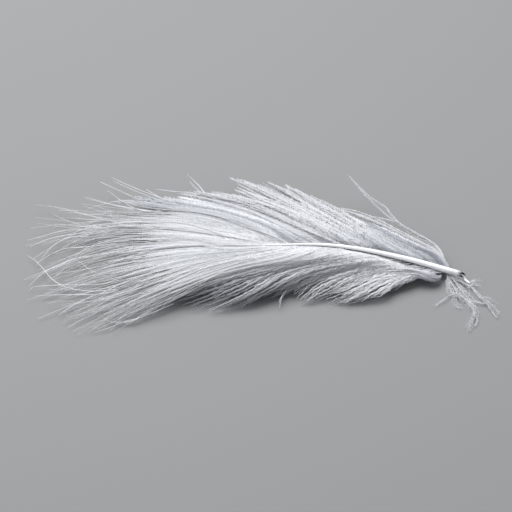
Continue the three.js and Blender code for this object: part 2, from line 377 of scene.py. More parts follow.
# Hairs that stand out of the far edge on their own
FAR_HAIRS = [
    [(240, 205, 5.2), (222, 201, 5.3), (207, 195, 5.6), (198, 185, 6.0), (187.5, 174.5, 6.4)],
    [(238, 206, 5.0), (220, 202, 5.2), (205, 195.5, 5.4), (196, 189, 5.8), (188.5, 180.5, 6.2)],
    [(230, 200, 5.0), (205, 195, 5.2), (180, 191.5, 5.2), (154, 188, 5.0)],
    [(200, 207, 5.0), (168, 200, 5.2), (140, 190, 5.2), (109, 176.5, 5.0)],
    [(195, 209, 5.0), (166, 203, 5.2), (138, 192, 5.2), (113, 181, 5.0)],
    [(180, 210, 5.0), (150, 203, 5.0), (127, 194, 5.0), (98, 180.5, 4.8)],
    [(165, 213, 4.6), (140, 210, 4.6), (122, 201, 4.6), (107, 190, 4.4)],
    [(160, 212, 4.4), (134, 208.5, 4.4), (110, 204, 4.2), (84, 197, 4.0)],
    [(176, 206, 4.8), (160, 198, 4.8), (144, 188, 4.8)],
]
# Tones of painted shade for the first barb's root and tip and the last barb's, from 0 as in shade to 1
# as in light
FAR_TONES = ((0.05, 0.6), (0.7, 0.45))
EVEN_TONE = ((0.83, 0.83), (0.83, 0.83))
BRIGHT_TONE = ((1.0, 1.0), (1.0, 1.0))
# Bare feet are the shares of the first and the last barb that have no down, next to the quill; painted
# shade darkens them
FAR_FEET = (0.09, 0.03)
# Hairs that show on their own have short barbules, and only near their roots
FINE_HAIR = {
    "hair": 0.14, "fringe": 0.4, "tip_fringe": 0.2, "bare": 0.3, "roundness": 0.0, "tones": BRIGHT_TONE,
}
# A barb is a line of stations. At its four spots it is drawn into its lock by LOCK_PULL of the way
# and strays by FREEDOM. Locks and roots are scattered a little along the quill.
STATIONS = 30
LOCK_PULL = np.array([0.45, 0.8, 0.96, 1.0])
PULL_RANGE = (0.7, 1.1)
FREEDOM = np.array([0.2, 0.4, 0.8, 1.2])
LOCK_SCATTER = 0.3
ROOT_SCATTER = 0.08
ROOT_RANGE = (0.02, 0.995)
LOCK_CUTS = (0.9, 1.0)
LOCK_LIFT = 0.25
FLOOR_GAP = 0.25
# Barbs have climbed to the top of the vane at the share RISE of their length, and the lower layers
# have parted from it at PARTING. A barb that lies lower also lies back, by SINK_BACK of its depth.
RISE = 0.16
PARTING = 0.3
SINK_BACK = 0.6


def ease(share):
    """A smooth step from 0 to 1."""
    share = np.clip(share, 0, 1)
    return share * share * (3 - 2 * share)


def curves_through(knots, t):
    """Points on smooth curves through rows of knots, at shares of the way."""
    last = knots.shape[1] - 1
    slopes = np.gradient(knots, axis=1)
    low = np.clip((t * last).astype(int), 0, last - 1)
    u = (t * last - low)[..., None]
    row = np.arange(len(knots))[:, None]
    return hermite(knots[row, low], knots[row, low + 1], slopes[row, low], slopes[row, low + 1], u)


def read_guides(guides):
    """The shares, spots and shapes of guides as arrays, with the spots in mm."""
    columns = list(zip(*guides))
    spots = (np.array(columns[1:5], float).transpose(1, 0, 2) - VIEW_MIDDLE) * VIEW_STEP
    return np.array(columns[0]), spots, np.array(columns[5:9]).T


def between(values, places):
    """Values of guides at places between them, where 0 is the first guide and 1 the second."""
    low = np.clip(np.floor(places).astype(int), 0, len(values) - 2)
    rest = (places - low).reshape((-1,) + (1,) * (values.ndim - 1))
    return values[low] * (1 - rest) + values[low + 1] * rest


def vane_lines(shares, spots, shapes, cuts, layers, rise=RISE):
    """Middle lines of barbs in mm, from the quill through spots, with the upper ones at layer 1."""
    on_quill = quill_point(np.clip(shares, *ROOT_RANGE))
    height, arch, back, down = shapes.T
    roots = on_quill + np.stack([0 * back, back, -down], -1)
    seen_roots = np.stack([roots[:, 0], roots[:, 1] + roots[:, 2]], -1)
    t = np.linspace(0, 1, STATIONS) * cuts[:, None]
    seen = curves_through(np.concatenate([seen_roots[:, None], spots], 1), t)
    roof = on_quill[:, 2:] * (1 - t) + height[:, None] * t + arch[:, None] * 4 * t * (1 - t)
    sunk = roof * (1 - (1 - layers[:, None]) * ease(t / PARTING))
    z = np.maximum(sunk - down[:, None] * (1 - ease(t / rise)), FLOOR_GAP)
    y = seen[..., 1] - (1 - SINK_BACK) * roof - SINK_BACK * z
    return np.stack([seen[..., 0], y, z], -1)


def vane_facing(shares, spots, shapes, places, cuts, rise):
    """The way that a vane's broad surface faces, at stations of barbs between its guides."""
    whole = np.ones(len(shares))
    surface = vane_lines(shares, spots, shapes, whole, whole, rise)
    facing = unit(np.cross(np.gradient(surface, axis=1), np.gradient(surface, axis=0)))
    facing *= np.sign(facing[..., 2].mean())
    spot = np.linspace(0, 1, STATIONS) * np.clip(cuts, 0, 1)[:, None] * (STATIONS - 1)
    low = np.minimum(spot.astype(int), STATIONS - 2)
    rest = (spot - low)[..., None]
    rows = between(facing, places)
    barb = np.arange(len(rows))[:, None]
    return unit(rows[barb, low] * (1 - rest) + rows[barb, low + 1] * rest)


def grow_barbs(rng, guides, count, locks, gather, layers, cuts, wander, stray, rise=RISE):
    """The mass of a vane: barbs spread evenly over its width, which gather in locks."""
    shares, spots, shapes = read_guides(guides)
    last = len(guides) - 1
    widths = np.linalg.norm(np.diff(spots, axis=0), axis=2).mean(1)
    across = np.concatenate([[0], np.cumsum(widths)]) / widths.sum()
    lock_at = np.interp(np.linspace(0, 1, locks), across, np.arange(last + 1))
    lock_at += rng.normal(0, LOCK_SCATTER * last / locks, locks)
    root_at = np.interp(np.linspace(0, 1, count), across, np.arange(last + 1))
    root_at += rng.normal(0, ROOT_SCATTER, count)
    family = np.abs(root_at[:, None] - lock_at).argmin(1)
    pull = gather * (lock_at[family] - root_at) * rng.uniform(*PULL_RANGE, count)
    ways = [between(spots[:, knot], root_at + pull * share) for knot, share in enumerate(LOCK_PULL)]
    drift = wander * rng.normal(0, 1, (locks, 4, 2))[family]
    drift += stray * rng.normal(0, 1, (count, 4, 2))
    lock_cut = rng.uniform(*LOCK_CUTS, locks)
    lock_layer = LOCK_LIFT * (layers[1] - layers[0]) * rng.uniform(-1, 1, locks)
    cut = lock_cut[family] * rng.uniform(*cuts, count)
    lines = vane_lines(
        between(shares, root_at),
        np.stack(ways, 1) + drift * FREEDOM[:, None],
        between(shapes, root_at),
        cut,
        rng.uniform(*layers, count) + lock_layer[family],
        rise,
    )
    return lines, family, vane_facing(shares, spots, shapes, root_at + pull, cut, rise)


def facing_up(lines):
    """The way up that is square to lines."""
    ahead = unit(np.gradient(lines, axis=1))
    return np.cross(ahead, unit(np.cross(UP, ahead)))


# How far a tuft's barbs lie apart at their four spots, and how each differs from the next
TUFT_SPREAD = np.array([2.4, 2.2, 1.6, 1.0])
TUFT_WAVER = 0.4
TUFT_ROOTS = 0.02
TUFT_SHAPES = np.array([0.15, 0.15, 0.0, 0.0])
TUFT_CUTS = (0.8, 1.0)
TUFT_LAYERS = (0.97, 1.04)


def grow_tufts(rng, tufts):
    """Small sheaves of barbs that start apart and end together."""
    *guides, sizes, ends_apart = zip(*tufts)
    family = np.repeat(np.arange(len(tufts)), sizes)
    count = len(family)
    shares, spots, shapes = read_guides(zip(*guides))
    spreads = np.array(ends_apart)[family, None, None]
    apart = rng.normal(0, 1, (count, 1, 2)) * TUFT_SPREAD[:, None]
    lines = vane_lines(
        shares[family] + rng.normal(0, TUFT_ROOTS, count),
        spots[family] + spreads * (apart + rng.normal(0, TUFT_WAVER, (count, 4, 2))),
        shapes[family] + rng.normal(0, 1, (count, 4)) * TUFT_SHAPES,
        rng.uniform(*TUFT_CUTS, count),
        rng.uniform(*TUFT_LAYERS, count),
    )
    return lines, family, facing_up(lines)


def view_path(rows):
    """Places in mm of spots of the view with heights."""
    rows = np.array(rows, float)
    seen = (rows[:, :2] - VIEW_MIDDLE) * VIEW_STEP
    return np.stack([seen[:, 0], seen[:, 1] - rows[:, 2], rows[:, 2]], -1)


# Strands open along their way as this power of it, and waver by a share of their spread
STRAND_OPENING = 0.4
STRAND_WAVER = 0.4


def strand_lines(rng, paths, count, spread, cuts):
    """Barbs that follow paths side by side, a number of them for each path."""
    lines = []
    for path in paths:
        places = view_path(path)
        free = np.linspace(0, 1, len(places)) ** STRAND_OPENING
        knots = places + rng.normal(0, spread, (count, 1, 3)) * free[:, None]
        knots += rng.normal(0, STRAND_WAVER * spread, (count, len(places), 3)) * free[:, None]
        t = np.linspace(0, 1, STATIONS) * rng.uniform(*cuts, (count, 1))
        lines.append(curves_through(knots, t))
    lines = np.concatenate(lines)
    lines[..., 2] = np.maximum(lines[..., 2], FLOOR_GAP)
    return lines, np.repeat(np.arange(len(paths)), count), facing_up(lines)


# The map's first place runs along a barb, with its bare foot below FOOT_MAP; the second is its tone
# Painted shade: a barb's foot next to the quill is coloured dark grey, fading to white at FOOT_MAP
FOOT_MAP = 0.1
# Streaks of tone run through three barbs. Each barb rolls and twists about its line, in radians.
STREAK_BARBS = 3
ROLL = 0.45
TWIST = 0.7
FARTHEST_OUT = 1.5
SMALLEST_FOOT = 1e-6


def clothed(share, bare_foot):
    """How far the down has grown in at a share of a barb: 0 on its bare foot and 1 past it."""
    return ease(2 * share / bare_foot - 1)


def map_along(share, bare_foot):
    """The map's first place at a share of a barb."""
    on_foot = FOOT_MAP * share / bare_foot
    return np.where(share < bare_foot, on_foot, FOOT_MAP + (1 - FOOT_MAP) * share)


def lay_barbs(rng, grown, roundness, tones, mottle, loose, bare_feet):
    """The lines of barbs with their directions, tones and bare feet."""
    lines, family, facing = grown
    count, stations = lines.shape[:2]
    t = np.linspace(0, 1, stations)
    ahead = unit(np.gradient(lines, axis=1))
    level = unit(np.cross(UP, ahead))
    above = np.cross(ahead, level)
    roll = rng.normal(0, ROLL, (count, 1)) + rng.normal(0, TWIST, (count, 1)) * t
    roll *= loose
    side = np.cos(roll)[..., None] * level + np.sin(roll)[..., None] * above
    root_tone, tip_tone = np.linspace(*tones, count).T[..., None]
    streak = rng.uniform(-mottle, mottle, (count, 1))[np.arange(count) // STREAK_BARBS]
    # The soft mass of a lock faces the way of its vane and out from its own middle
    total = np.zeros((family.max() + 1,) + lines.shape[1:])
    np.add.at(total, family, lines)
    out = lines - (total / np.bincount(family)[:, None, None])[family]
    out -= (out * ahead).sum(-1, keepdims=True) * ahead
    return SimpleNamespace(
        lines=lines,
        family=family,
        ahead=ahead,
        side=side,
        normal=np.cross(ahead, side),
        facing=unit(facing + roundness * np.clip(out, -FARTHEST_OUT, FARTHEST_OUT)),
        shade=np.clip(root_tone * (1 - t) + tip_tone * t + streak, 0, 1),
        bare_foot=np.maximum(np.linspace(*bare_feet, count), SMALLEST_FOOT),
    )


# Shares of its thickness that a hair loses to its tip, and has on its bare foot
HAIR_TAPER = 0.7
FOOT_HAIR = 0.45
HAIR_ROUNDNESS = 0.8
HAIR_MAP_WIDTH = 0.02


def hair_arrays(barbs, hair):
    """Vertices, triangles, map places and normals of the hairs: three-sided tubes that taper."""
    count, stations = barbs.lines.shape[:2]
    t = np.linspace(0, 1, stations)
    feet = barbs.bare_foot[:, None]
    growth = FOOT_HAIR + (1 - FOOT_HAIR) * clothed(t, feet)
    radius = hair * ((1 - HAIR_TAPER * t ** 2) * growth)[..., None]
    turns = 2 * math.pi * np.arange(3) / 3
    spokes = np.stack([math.cos(a) * barbs.side + math.sin(a) * barbs.normal for a in turns], 2)
    verts = (barbs.lines[:, :, None] + radius[..., None] * spokes).reshape(-1, 3)
    normals = (barbs.facing[:, :, None] + HAIR_ROUNDNESS * spokes).reshape(-1, 3)
    index = np.arange(count * stations * 3).reshape(count, stations, 3)
    a, b = index[:, :-1], index[:, 1:]
    a_next, b_next = np.roll(a, -1, 2), np.roll(b, -1, 2)
    sides = [np.stack([a, a_next, b], -1), np.stack([a_next, b_next, b], -1)]
    caps = [index[:, 0, ::-1], index[:, -1]]
    triangles = np.concatenate([faces.reshape(-1, 3) for faces in sides + caps])
    tone = barbs.shade[..., None] + HAIR_MAP_WIDTH * np.arange(-1, 2)
    along = np.broadcast_to(map_along(t, feet)[..., None], tone.shape)
    return verts, triangles, np.stack([along, tone], -1).reshape(-1, 2), normals


# Barbs are crimped in waves, in mm, which differ in length and in place from barb to barb
CRIMP_WAVE = 3.2
CRIMP_VARIES = (0.75, 0.5)
CRIMP_SHIFTS = (2.4, 0.35)
CRIMP_START = 0.2
GOLDEN = 0.618
# Barbules are short at both ends of a barb: each pair is the first length and its growth from there.
# They also shorten from THIN_FROM to the tip, where they stand out in beads.
FEWEST_STEPS = 4
ROOT_REACH = (0.35, 8)
TIP_REACH = (0.3, 14)
THIN_FROM = 0.3
BEAD = 0.4
BEAD_SPACING = 0.6
# Each barbule differs from the next in its two angles, in radians, and in its length
SLANT_VARIES = 0.16
LIFT_VARIES = 0.45
REACH_VARIES = (0.6, 1.15)
BARBULE_ROUNDNESS = 0.3
BARBULE_MAP_WIDTH = 0.03


def barbule_arrays(rng, barbs, fringe, tip_fringe, bare, lean, loose, step, span, keep, crimp):
    """The same of the barbules: flat blades on both sides of a barb, which stand on its line."""
    count, stations = barbs.lines.shape[:2]
    length = np.linalg.norm(np.diff(barbs.lines, axis=1), axis=2).sum(1)
    steps = np.maximum((length / step).astype(int), FEWEST_STEPS)
    owner = np.repeat(np.arange(count), steps + 1)
    first = np.concatenate([[0], np.cumsum(steps + 1)[:-1]])
    number = np.arange(len(owner)) - first[owner]
    at = number / steps[owner]
    spot = at * (stations - 1)
    low = np.minimum(spot.astype(int), stations - 2)
    rest = (spot - low)[:, None]

    def on_barbs(values):
        return values[owner, low] * (1 - rest) + values[owner, low + 1] * rest

    base, facing = on_barbs(barbs.lines), on_barbs(barbs.facing)
    ahead, side, normal = on_barbs(barbs.ahead), on_barbs(barbs.side), on_barbs(barbs.normal)
    wave = CRIMP_WAVE * (CRIMP_VARIES[0] + CRIMP_VARIES[1] * np.modf(GOLDEN * owner)[0])
    shift = CRIMP_SHIFTS[0] * barbs.family[owner] + CRIMP_SHIFTS[1] * owner
    turn = 2 * math.pi * number * step / wave + shift
    base += (crimp * np.sin(turn) * ease(at / CRIMP_START))[:, None] * side
    kept = rng.uniform(0, 1, len(owner)) < keep
    foot = np.nonzero((number <= steps[owner] - span) & (at < bare) & kept)[0]
    n = len(foot)
    thin = ease((at[foot] / bare - THIN_FROM) / (1 - THIN_FROM))
    from_root = ROOT_REACH[0] + ROOT_REACH[1] * at[foot]
    from_tip = TIP_REACH[0] + TIP_REACH[1] * (1 - at[foot])
    ends = np.clip(np.minimum(from_root, from_tip), 0, 1)
    beads = 1 + BEAD * thin * np.sin(2 * math.pi * number[foot] * step / BEAD_SPACING)
    reach = (fringe + (tip_fringe - fringe) * thin) * ends * beads
    reach *= clothed(at[foot], barbs.bare_foot[owner[foot]])
    tips, tip_normals = [], []
    for hand in (1, -1):
        slant = rng.normal(lean, SLANT_VARIES, n)
        lift = rng.normal(0, LIFT_VARIES * loose, n)
        away = np.cos(lift)[:, None] * hand * side[foot] + np.sin(lift)[:, None] * normal[foot]
        way = np.cos(slant)[:, None] * ahead[foot] + np.sin(slant)[:, None] * away
        tips.append(base[foot] + way * (reach * rng.uniform(*REACH_VARIES, n))[:, None])
        tip_normals.append(facing[foot] + BARBULE_ROUNDNESS * away)
    tip_at = len(base) + np.arange(n)
    left = np.stack([foot, foot + span, tip_at], -1)
    right = np.stack([foot + span, foot, tip_at + n], -1)
    along = map_along(at, barbs.bare_foot[owner])
    base_map = np.stack([along, on_barbs(barbs.shade[..., None])[:, 0]], -1)
    tip_map = base_map[foot] - (0, BARBULE_MAP_WIDTH)
    return (
        np.concatenate([base, *tips]),
        np.concatenate([left, right]),
        np.concatenate([base_map, tip_map, tip_map]),
        np.concatenate([facing, *tip_normals]),
    )


def join_arrays(parts):
    """One set of vertices, triangles, map places and normals from several."""
    shift = np.cumsum([0] + [len(part[0]) for part in parts])
    triangles = np.concatenate([part[1] + more for part, more in zip(parts, shift)])
    verts, places, normals = [np.concatenate([part[i] for part in parts]) for i in (0, 2, 3)]
    return verts, triangles, places, normals


# No point of the down is lower than this, in mm
LOWEST_DOWN = 0.05


def barb_arrays(
    rng, grown, hair=0.08, fringe=1.8, tip_fringe=0.4, bare=1.0, roundness=0.3, tones=EVEN_TONE,
    mottle=0.2, lean=0.5, loose=1.0, step=0.16, span=2, keep=1.0, bare_feet=(0.0, 0.0), crimp=0.0,
):
    """The arrays of barbs, a hair each with a fringe of barbules. Lengths are in mm. A barb has
    barbules up to the share bare of its length, on every step, each as wide as a span of steps."""
    barbs = lay_barbs(rng, grown, roundness, tones, mottle, loose, bare_feet)
    verts, triangles, places, normals = join_arrays([
        hair_arrays(barbs, hair),
        barbule_arrays(rng, barbs, fringe, tip_fringe, bare, lean, loose, step, span, keep, crimp),
    ])
    verts[:, 2] = np.maximum(verts[:, 2], LOWEST_DOWN)
    return verts, triangles, np.clip(places, 0, 1), unit(normals)


# Painted shade at the barbs' feet by the quill, and the down's white
PAINTED_FOOT_SHADE = (0.3, 0.3, 0.32, 1)
DOWN_WHITE = (0.975, 0.98, 0.99, 1)
# Painted shade: the map's tone darkens the down from white towards a shaded blue-grey
SHADED_TONE = (0.48, 0.495, 0.535, 1)
LIT_TONE = (1.0, 1.0, 1.0, 1)
SHINE_THROUGH = 0.45


def down_material():
    """Matte cool white that lets light through. The map's place along a barb and its tone give painted
    shade.
    """
    material, nodes, links, shader = new_material("down")
    shader.inputs["Roughness"].default_value = 0.6
    shader.inputs["Specular IOR Level"].default_value = 0.25
    place = nodes.new("ShaderNodeUVMap")
    place.uv_map = "OFBake"
    parts = nodes.new("ShaderNodeSeparateXYZ")
    links.new(place.outputs["UV"], parts.inputs["Vector"])
    # Painted shade: dark grey at a barb's foot by the quill, white past FOOT_MAP
    root = colour_ramp(nodes, PAINTED_FOOT_SHADE, DOWN_WHITE, end=FOOT_MAP)
    links.new(parts.outputs["X"], root.inputs["Fac"])
    # Painted shade from the map's tone, multiplied into the white
    tone = colour_ramp(nodes, SHADED_TONE, LIT_TONE)
    links.new(parts.outputs["Y"], tone.inputs["Fac"])
    mix = nodes.new("ShaderNodeMix")
    mix.data_type = "RGBA"
    mix.blend_type = "MULTIPLY"
    mix.inputs["Factor"].default_value = 1.0
    links.new(root.outputs["Color"], mix.inputs["A"])
    links.new(tone.outputs["Color"], mix.inputs["B"])
    links.new(mix.outputs["Result"], shader.inputs["Base Color"])
    glow = nodes.new("ShaderNodeBsdfTranslucent")
    links.new(mix.outputs["Result"], glow.inputs["Color"])
    both = nodes.new("ShaderNodeMixShader")
    both.inputs["Fac"].default_value = SHINE_THROUGH
    links.new(shader.outputs["BSDF"], both.inputs[1])
    links.new(glow.outputs["BSDF"], both.inputs[2])
    links.new(both.outputs["Shader"], nodes["Material Output"].inputs["Surface"])
    return material


down = down_material()


def down_piece(name, node, parts):
    """One mesh object, which stands for a node, from the arrays of one or more groups of barbs."""
    verts, faces, places, normals = join_arrays(parts)
    mesh = bpy.data.meshes.new(name)
    mesh.vertices.add(len(verts))
    mesh.vertices.foreach_set("co", (verts * MM).astype(np.float32).ravel())
    mesh.loops.add(faces.size)
    mesh.loops.foreach_set("vertex_index", faces.astype(np.int32).ravel())
    mesh.polygons.add(len(faces))
    mesh.polygons.foreach_set("loop_start", np.arange(0, faces.size, 3, dtype=np.int32))
    mesh.polygons.foreach_set("use_smooth", np.ones(len(faces), bool))
    layer = mesh.uv_layers.new(name="OFBake")
    layer.uv.foreach_set("vector", places[faces.ravel()].astype(np.float32).ravel())
    mesh.update()
    mesh.normals_split_custom_set_from_vertices(normals)
    mesh.materials.append(down)
    piece = bpy.data.objects.new(name, mesh)
    bpy.context.scene.collection.objects.link(piece)
    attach(piece, "root")
    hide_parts(node)


rng = np.random.default_rng(3)
under = grow_barbs(
    rng, FAR_GUIDES, count=100, locks=14, gather=0.1, layers=(0.15, 0.75), cuts=(0.8, 0.98),
    wander=0.4, stray=0.4,
)
over = grow_barbs(
    rng, FAR_GUIDES, count=250, locks=44, gather=0.25, layers=(0.97, 1.02), cuts=(0.82, 1.02),
    wander=0.4, stray=0.35,
)
tufts = grow_tufts(rng, FAR_TUFTS)
strands = strand_lines(rng, FAR_STRANDS, count=4, spread=0.16, cuts=(0.85, 1.0))
hairs = strand_lines(rng, FAR_HAIRS, count=2, spread=0.12, cuts=(0.96, 1.04))
down_piece("far_vane_under", "far_vane", [
    barb_arrays(rng, under, tones=FAR_TONES, step=0.24, bare_feet=FAR_FEET),
])
down_piece("far_vane_over", "far_vane", [
    barb_arrays(
        rng, over, hair=0.06, fringe=1.3, tip_fringe=1.2, tones=FAR_TONES, mottle=0.5, loose=0.3,
        bare_feet=FAR_FEET, crimp=0.1,
    ),
])
down_piece("far_vane_edge", "far_vane", [
    barb_arrays(rng, tufts, fringe=1.3, tip_fringe=0.5, step=0.18),
    barb_arrays(rng, strands, fringe=0.6),
    barb_arrays(rng, hairs, **FINE_HAIR),
])

# Near vane
# The down on the near side, in the shade: soft horn barbs like those of the far vane, but longer.
# They grow out of the quill's side, hang to the surface and twist together in ropes.
NEAR_GUIDES = [
    (0.10, (425, 273), (405, 280), (388, 290), (368, 296), 1.6, 0.8, -0.3, 1.3),
    (0.14, (410, 272), (384, 281), (360, 294), (333, 305), 1.2, 1.1, -0.3, 1.3),
    (0.18, (398, 269), (368, 277), (340, 289), (312, 296), 1.0, 1.5, -0.3, 1.3),
    (0.22, (388, 266), (352, 273), (322, 286), (298, 304), 0.8, 1.9, -0.3, 1.2),
    (0.27, (376, 263.5), (338, 270.5), (308, 281), (282, 297), 0.8, 2.3, -0.3, 1.1),
    (0.32, (366, 262), (322, 270), (285, 284), (255, 298), 0.8, 2.6, -0.3, 0.9),
    (0.36, (356, 261), (307, 270), (265, 289), (226, 311), 0.8, 2.8, -0.3, 0.7),
    (0.41, (348, 259.5), (292, 270), (250, 293), (200, 315), 0.8, 2.8, -0.3, 0.5),
    (0.46, (340, 258), (280, 270), (235, 291), (186, 311), 0.8, 2.8, -0.3, 0.5),
    (0.52, (330, 257), (268, 269.5), (218, 286), (165, 304), 0.8, 2.8, -0.3, 0.5),
    (0.58, (318, 256.5), (258, 269), (202, 287), (142, 312), 0.8, 2.8, -0.3, 0.5),
]
NEAR_TUFTS = [
    (0.13, (412, 274), (386, 284), (360, 297), (332, 305), 0.6, 0.4, -0.3, 0.5, 10, 0.4),
    (0.20, (392, 270), (356, 279), (325, 292), (297, 306), 0.6, 0.4, -0.3, 0.5, 10, 0.4),
    (0.30, (368, 265), (322, 274), (284, 291), (258, 300), 0.6, 0.4, -0.3, 0.5, 8, 0.4),
    (0.36, (356, 262), (307, 272), (265, 292), (226, 311), 0.6, 0.4, -0.3, 0.5, 10, 0.4),
    (0.41, (348, 260), (292, 272), (250, 295), (200, 315), 0.6, 0.4, -0.3, 0.5, 10, 0.4),
    (0.46, (340, 259), (280, 272), (235, 294), (186, 311), 0.6, 0.4, -0.3, 0.5, 9, 0.4),
]
# The first barbs fold back in a smooth lobe that lies along the quill's near side
NEAR_LOBE = [
    (441, 274.5, 2.0), (437, 278, 2.3), (431, 278.3, 2.7), (424, 276.5, 3.1), (415, 274, 3.4),
    (404, 272.5, 3.7), (390, 272.5, 3.8), (368, 275.5, 3.4), (342, 283, 2.4),
]
NEAR_LOBE_INSIDE = [
    (438, 276, 2.3), (432, 275.8, 2.7), (425, 274, 3.1), (416, 271.7, 3.5), (404, 269.7, 3.9),
    (388, 269.5, 4.1), (366, 272.5, 3.8),
]
# A small lock that hooks down at its end
NEAR_HOOK = [
    (368, 267, 4.2), (330, 274, 3.6), (302, 282, 3.0), (289, 288, 2.4), (281, 297, 2.0),
    (279.5, 307, 1.8),
]
# Painted shade: the tips of the last near barbs, which hang in ropes, are darkened
NEAR_TONES = ((1.0, 1.0), (1.0, 0.1))
NEAR_FEET = (0.2, 0.03)
NEAR_RISE = 0.3
# Painted shade: the lobe is darkened at its roots, in the quill's shade, and the tufts at their tips
PAINTED_TIP_SHADE = ((0.6, 0.1), (0.6, 0.1))
PAINTED_LOBE_SHADE = ((0.3, 0.8), (0.3, 0.8))
rng = np.random.default_rng(4)
under = grow_barbs(
    rng, NEAR_GUIDES, count=100, locks=15, gather=0.2, layers=(0.15, 0.6), cuts=(0.8, 0.98),
    wander=0.4, stray=0.4, rise=NEAR_RISE,
)
over = grow_barbs(
    rng, NEAR_GUIDES, count=280, locks=60, gather=0.35, layers=(0.95, 1.03), cuts=(0.72, 1.02),
    wander=0.5, stray=0.6, rise=NEAR_RISE,
)
tufts = grow_tufts(rng, NEAR_TUFTS)
lobe = strand_lines(rng, [NEAR_LOBE, NEAR_LOBE_INSIDE], count=18, spread=0.42, cuts=(0.6, 1.0))
hook = strand_lines(rng, [NEAR_HOOK], count=6, spread=0.25, cuts=(0.8, 1.0))
down_piece("near_vane_under", "near_vane", [
    barb_arrays(rng, under, tones=NEAR_TONES, step=0.24, bare_feet=NEAR_FEET),
])
down_piece("near_vane_over", "near_vane", [
    barb_arrays(
        rng, over, fringe=1.2, tip_fringe=0.2, roundness=0.4, tones=NEAR_TONES, loose=0.6,
        bare_feet=NEAR_FEET, crimp=0.14,
    ),
])
down_piece("near_vane_edge", "near_vane", [
    barb_arrays(rng, tufts, fringe=0.9, tip_fringe=0.2, roundness=0.5, tones=PAINTED_TIP_SHADE),
    barb_arrays(rng, lobe, hair=0.06, fringe=1.1, roundness=0.8, tones=PAINTED_LOBE_SHADE, loose=0.4),
    barb_arrays(rng, hook, fringe=0.8, tip_fringe=0.15, roundness=0.5),
])

# Tip plume
# The last barbs of both sides, which close over the quill's tip and fan out past it. Their ends
# lie apart, so that each shows as a thin curved hair.
TIP_GUIDES = [
    (0.84, (255, 228), (204, 215), (148, 210), (90, 203), 3.2, 1.6, 0.7, 0.7),
    (0.86, (248, 230), (196, 218), (134, 214), (58, 209), 2.8, 1.5, 0.7, 0.7),
    (0.88, (241, 233), (186, 222), (122, 220), (42, 224), 2.6, 1.4, 0.7, 0.7),
    (0.88, (236, 236), (180, 227), (112, 226), (34, 241), 2.4, 1.4, 0.6, 0.7),
    (0.87, (233, 239.5), (176, 232), (108, 234), (39, 255), 2.2, 1.3, 0.5, 0.6),
    (0.86, (231, 243), (174, 239), (106, 244), (37, 268), 2.0, 1.3, 0.3, 0.5),
    (0.85, (231, 247), (172, 247), (105, 255), (36, 278), 1.8, 1.4, 0.1, 0.4),
    (0.84, (233, 250), (174, 254), (107, 265), (38, 286), 1.6, 1.5, -0.2, 0.4),
    (0.82, (238, 252), (180, 260), (112, 276), (41, 294), 1.4, 1.6, -0.3, 0.4),
    (0.80, (246, 253.5), (188, 265), (119, 286), (46, 310), 1.2, 1.7, -0.3, 0.4),
    (0.77, (258, 255.5), (200, 268.5), (130, 294), (60, 319), 1.1, 2.0, -0.3, 0.4),
    (0.74, (272, 257), (215, 270), (145, 298), (78, 326), 1.0, 2.2, -0.3, 0.4),
    (0.70, (288, 258.5), (232, 270), (163, 297), (97, 330), 0.9, 2.4, -0.3, 0.4),
    (0.63, (305, 259.5), (250, 268.5), (182, 290), (118, 325), 0.9, 2.4, -0.3, 0.4),
    (0.585, (319, 257.5), (264, 267.5), (196, 286.5), (132, 321), 0.9, 2.4, -0.3, 0.4),
]
